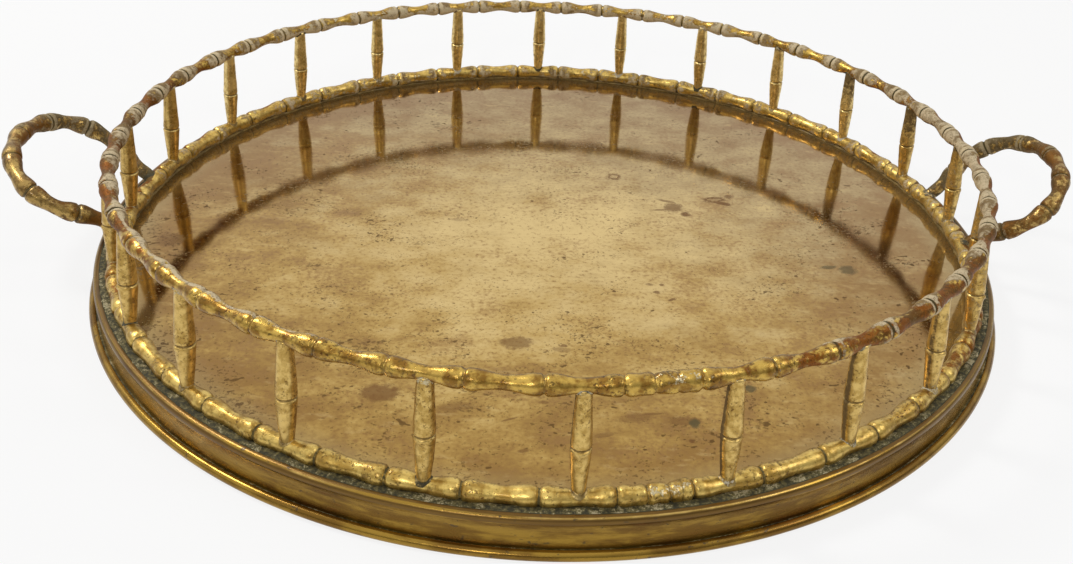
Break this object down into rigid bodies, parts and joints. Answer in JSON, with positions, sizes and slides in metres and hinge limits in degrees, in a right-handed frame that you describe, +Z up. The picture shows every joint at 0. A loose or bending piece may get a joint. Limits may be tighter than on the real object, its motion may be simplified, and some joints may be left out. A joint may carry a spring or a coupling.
{
  "type": "gallery tray",
  "caption": "Round brass tray with a raised gallery of bamboo-pattern rails and turned balusters, two loop handles and a wired foot edge.",
  "frame": {"origin": "centre of the bottom of the bounding box, on the surface that the tray stands on", "axes": "+X runs through the two handles, +Z is up out of the tray"},
  "size_m": [0.4193, 0.3538, 0.0551],
  "materials": {
    "deck_brass": "worn polished sheet with brown tarnish, speckle and fine scratches",
    "rail_brass": "cast bamboo pattern, polished on the swells, brown in the hollows, limy oxide on the sides",
    "baluster_brass": "turned, satin, with brown lines at the rings",
    "handle_brass": "cast bamboo pattern, rubbed bright on the outside of the bow",
    "wire_brass": "drawn wire, dull"
  },
  "bodies": {
    "root": {"tray_pan": "deck_brass", "rim_wire": "wire_brass", "lower_rail": "rail_brass", "lower_rail_closing_length": "rail_brass", "upper_rail": "rail_brass", "upper_rail_closing_length": "rail_brass", "baluster_01": "baluster_brass", "baluster_02": "baluster_brass", "baluster_03": "baluster_brass", "baluster_04": "baluster_brass", "baluster_05": "baluster_brass", "baluster_06": "baluster_brass", "baluster_07": "baluster_brass", "baluster_08": "baluster_brass", "baluster_09": "baluster_brass", "baluster_10": "baluster_brass", "baluster_11": "baluster_brass", "baluster_12": "baluster_brass", "baluster_13": "baluster_brass", "baluster_14": "baluster_brass", "baluster_15": "baluster_brass", "baluster_16": "baluster_brass", "baluster_17": "baluster_brass", "baluster_18": "baluster_brass", "baluster_19": "baluster_brass", "baluster_20": "baluster_brass", "baluster_21": "baluster_brass", "baluster_22": "baluster_brass", "baluster_23": "baluster_brass", "baluster_24": "baluster_brass", "handle_left": "handle_brass", "handle_right": "handle_brass"}
  },
  "joints": []
}
